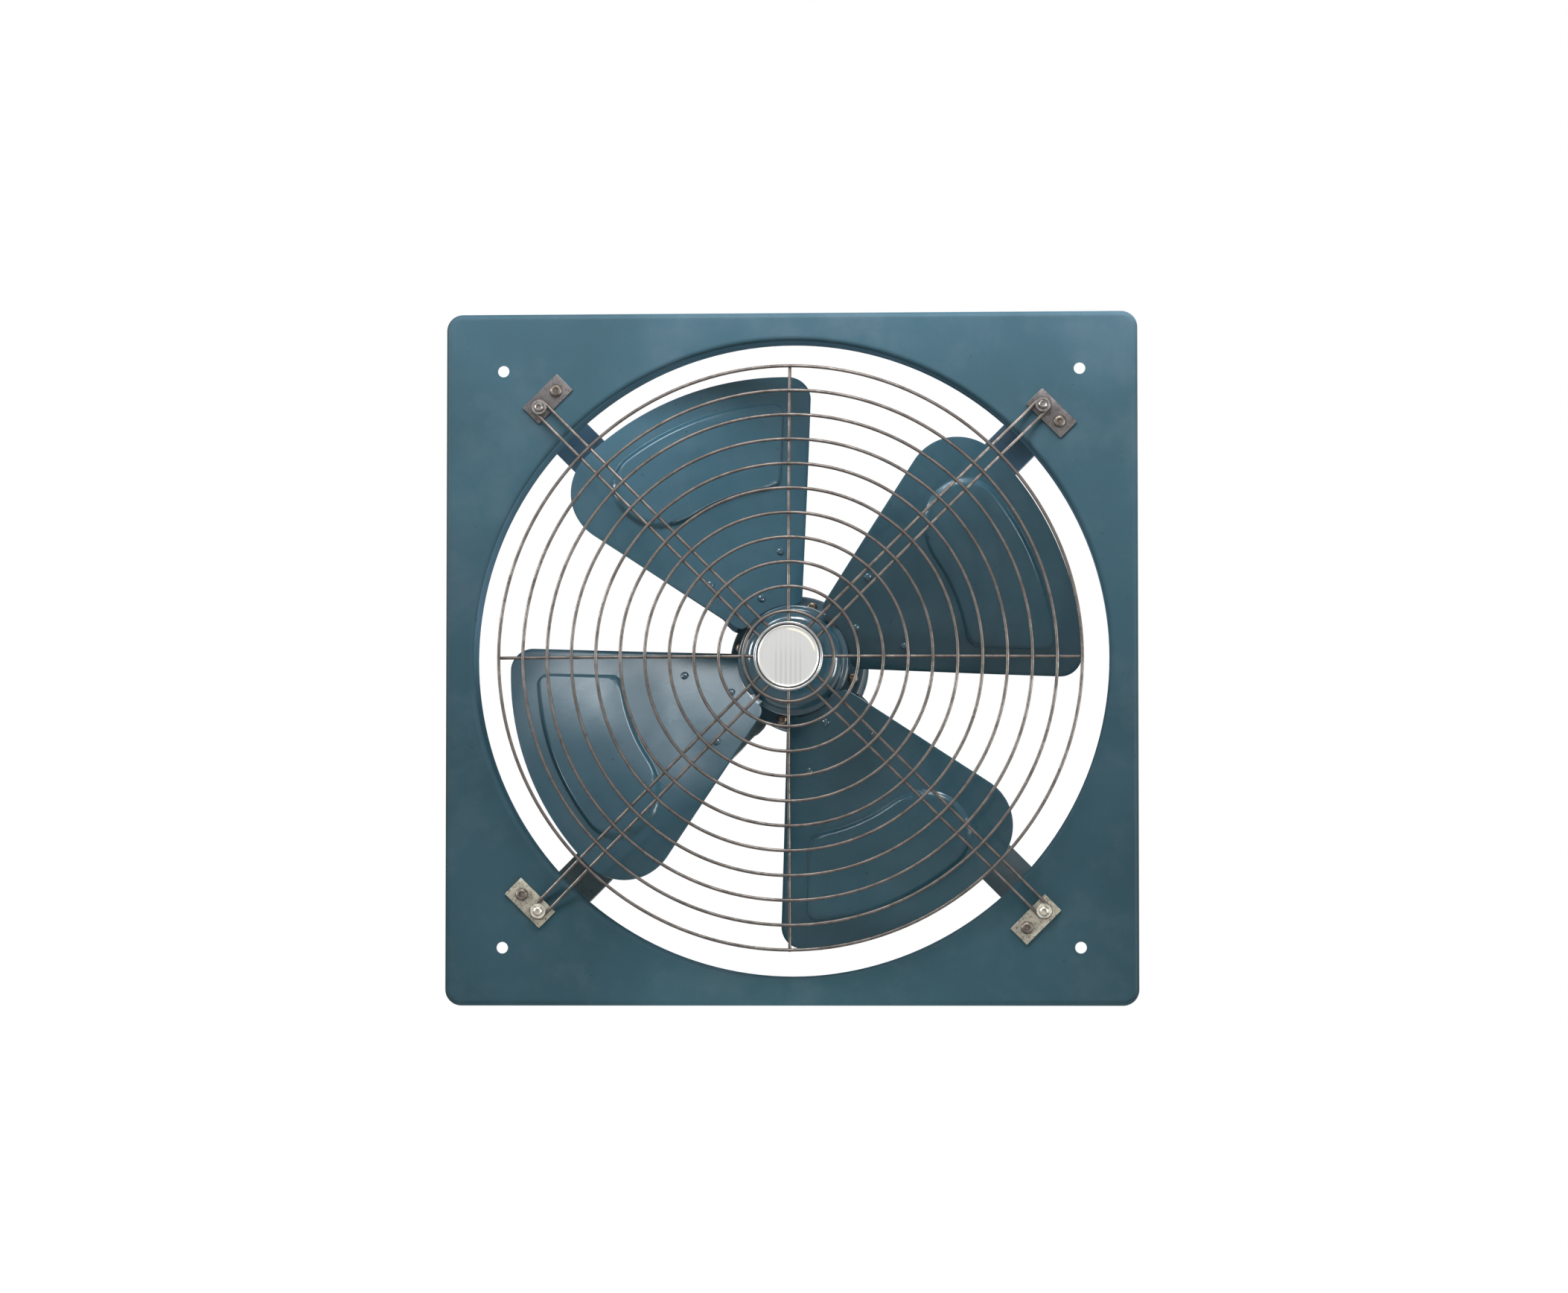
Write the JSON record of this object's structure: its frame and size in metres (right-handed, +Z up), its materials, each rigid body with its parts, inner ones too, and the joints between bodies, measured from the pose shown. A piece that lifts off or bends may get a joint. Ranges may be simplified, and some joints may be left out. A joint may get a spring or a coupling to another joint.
{
  "type": "whole house fan",
  "caption": "Plate-mounted axial exhaust fan: pressed impeller in a square steel plate, welded wire guard in front, motor on diagonal arms behind.",
  "frame": {"origin": "on the shaft's axis, in the plane where the plate's folded rim meets the wall", "axes": "+Z up, +X to the right seen from the guard side, +Y along the shaft from the guard towards the motor"},
  "size_m": [0.6, 0.2669, 0.6],
  "materials": {
    "enamelled_plate": "gloss blue-green stove enamel on pressed steel",
    "enamelled_blade": "satin blue-green enamel on pressed steel",
    "enamelled_spider": "satin blue-green enamel on pressed steel",
    "enamelled_arm": "satin blue-green enamel on bent steel strip",
    "enamelled_shell": "satin blue-green enamel on rolled steel",
    "painted_casting": "blue-green paint over a die-cast surface",
    "guard_wire": "bright plated round wire, slightly dulled",
    "boss_steel": "plated pressed steel with a rolled rim",
    "disc_steel": "brushed bright disc, bare",
    "zinc_clip": "dull zinc plate on strip steel",
    "zinc_fastener": "zinc-plated steel",
    "through_bolt_steel": "browned steel head",
    "shaft_steel": "ground steel",
    "bearing_steel": "ground bearing steel",
    "lamination_steel": "stacked electrical sheet",
    "winding_copper": "varnished copper winding",
    "black_plastic": "moulded black plastic",
    "capacitor_can": "drawn aluminium can"
  },
  "bodies": {
    "frame": {"frame_plate": "enamelled_plate", "front_outer_race": "bearing_steel", "rear_outer_race": "bearing_steel", "motor_front_cover": "painted_casting", "motor_shell": "enamelled_shell", "motor_rear_cover": "painted_casting", "through_bolt_1": "through_bolt_steel", "through_bolt_2": "through_bolt_steel", "through_bolt_3": "through_bolt_steel", "through_bolt_4": "through_bolt_steel", "stator_core": "lamination_steel", "front_winding": "winding_copper", "rear_winding": "winding_copper", "wire_guard": "guard_wire", "guard_boss": "boss_steel", "boss_disc": "disc_steel", "motor_arm_upper_right": "enamelled_arm", "arm_bolt_upper_right": "zinc_fastener", "guard_clip_upper_right": "zinc_clip", "clip_screw_upper_right": "zinc_fastener", "side_screw_upper_right": "zinc_fastener", "foot_nut_upper_right": "zinc_fastener", "motor_arm_upper_left": "enamelled_arm", "arm_bolt_upper_left": "zinc_fastener", "guard_clip_upper_left": "zinc_clip", "clip_screw_upper_left": "zinc_fastener", "side_screw_upper_left": "zinc_fastener", "foot_nut_upper_left": "zinc_fastener", "motor_arm_lower_left": "enamelled_arm", "arm_bolt_lower_left": "zinc_fastener", "guard_clip_lower_left": "zinc_clip", "clip_screw_lower_left": "zinc_fastener", "side_screw_lower_left": "zinc_fastener", "foot_nut_lower_left": "zinc_fastener", "motor_arm_lower_right": "enamelled_arm", "arm_bolt_lower_right": "zinc_fastener", "guard_clip_lower_right": "zinc_clip", "clip_screw_lower_right": "zinc_fastener", "side_screw_lower_right": "zinc_fastener", "foot_nut_lower_right": "zinc_fastener", "capacitor_box": "black_plastic", "capacitor_box_lid": "black_plastic", "capacitor": "capacitor_can", "cable_gland": "black_plastic"},
    "impeller": {"hub_spider": "enamelled_spider", "blade_1": "enamelled_blade", "blade_2": "enamelled_blade", "blade_3": "enamelled_blade", "blade_4": "enamelled_blade", "shaft": "shaft_steel", "shaft_key": "shaft_steel", "hub_washer": "zinc_fastener", "hub_nut": "zinc_fastener", "rotor_core": "lamination_steel", "front_inner_race": "bearing_steel", "rear_inner_race": "bearing_steel"},
    "front_cage": {"front_ball_set": "bearing_steel"},
    "rear_cage": {"rear_ball_set": "bearing_steel"}
  },
  "joints": [
    {"name": "impeller_spin", "type": "hinge", "parent": "frame", "child": "impeller", "pos_m": [0, 0, 0], "axis": [0, -1, 0], "continuous": true},
    {"name": "front_cage_spin", "type": "hinge", "parent": "frame", "child": "front_cage", "pos_m": [0, 0, 0], "axis": [0, -1, 0], "continuous": true},
    {"name": "rear_cage_spin", "type": "hinge", "parent": "frame", "child": "rear_cage", "pos_m": [0, 0, 0], "axis": [0, -1, 0], "continuous": true}
  ],
  "couplings": [
    {"joint": "front_cage_spin", "follows": "impeller_spin", "ratio": 0.3867},
    {"joint": "rear_cage_spin", "follows": "impeller_spin", "ratio": 0.3867}
  ]
}
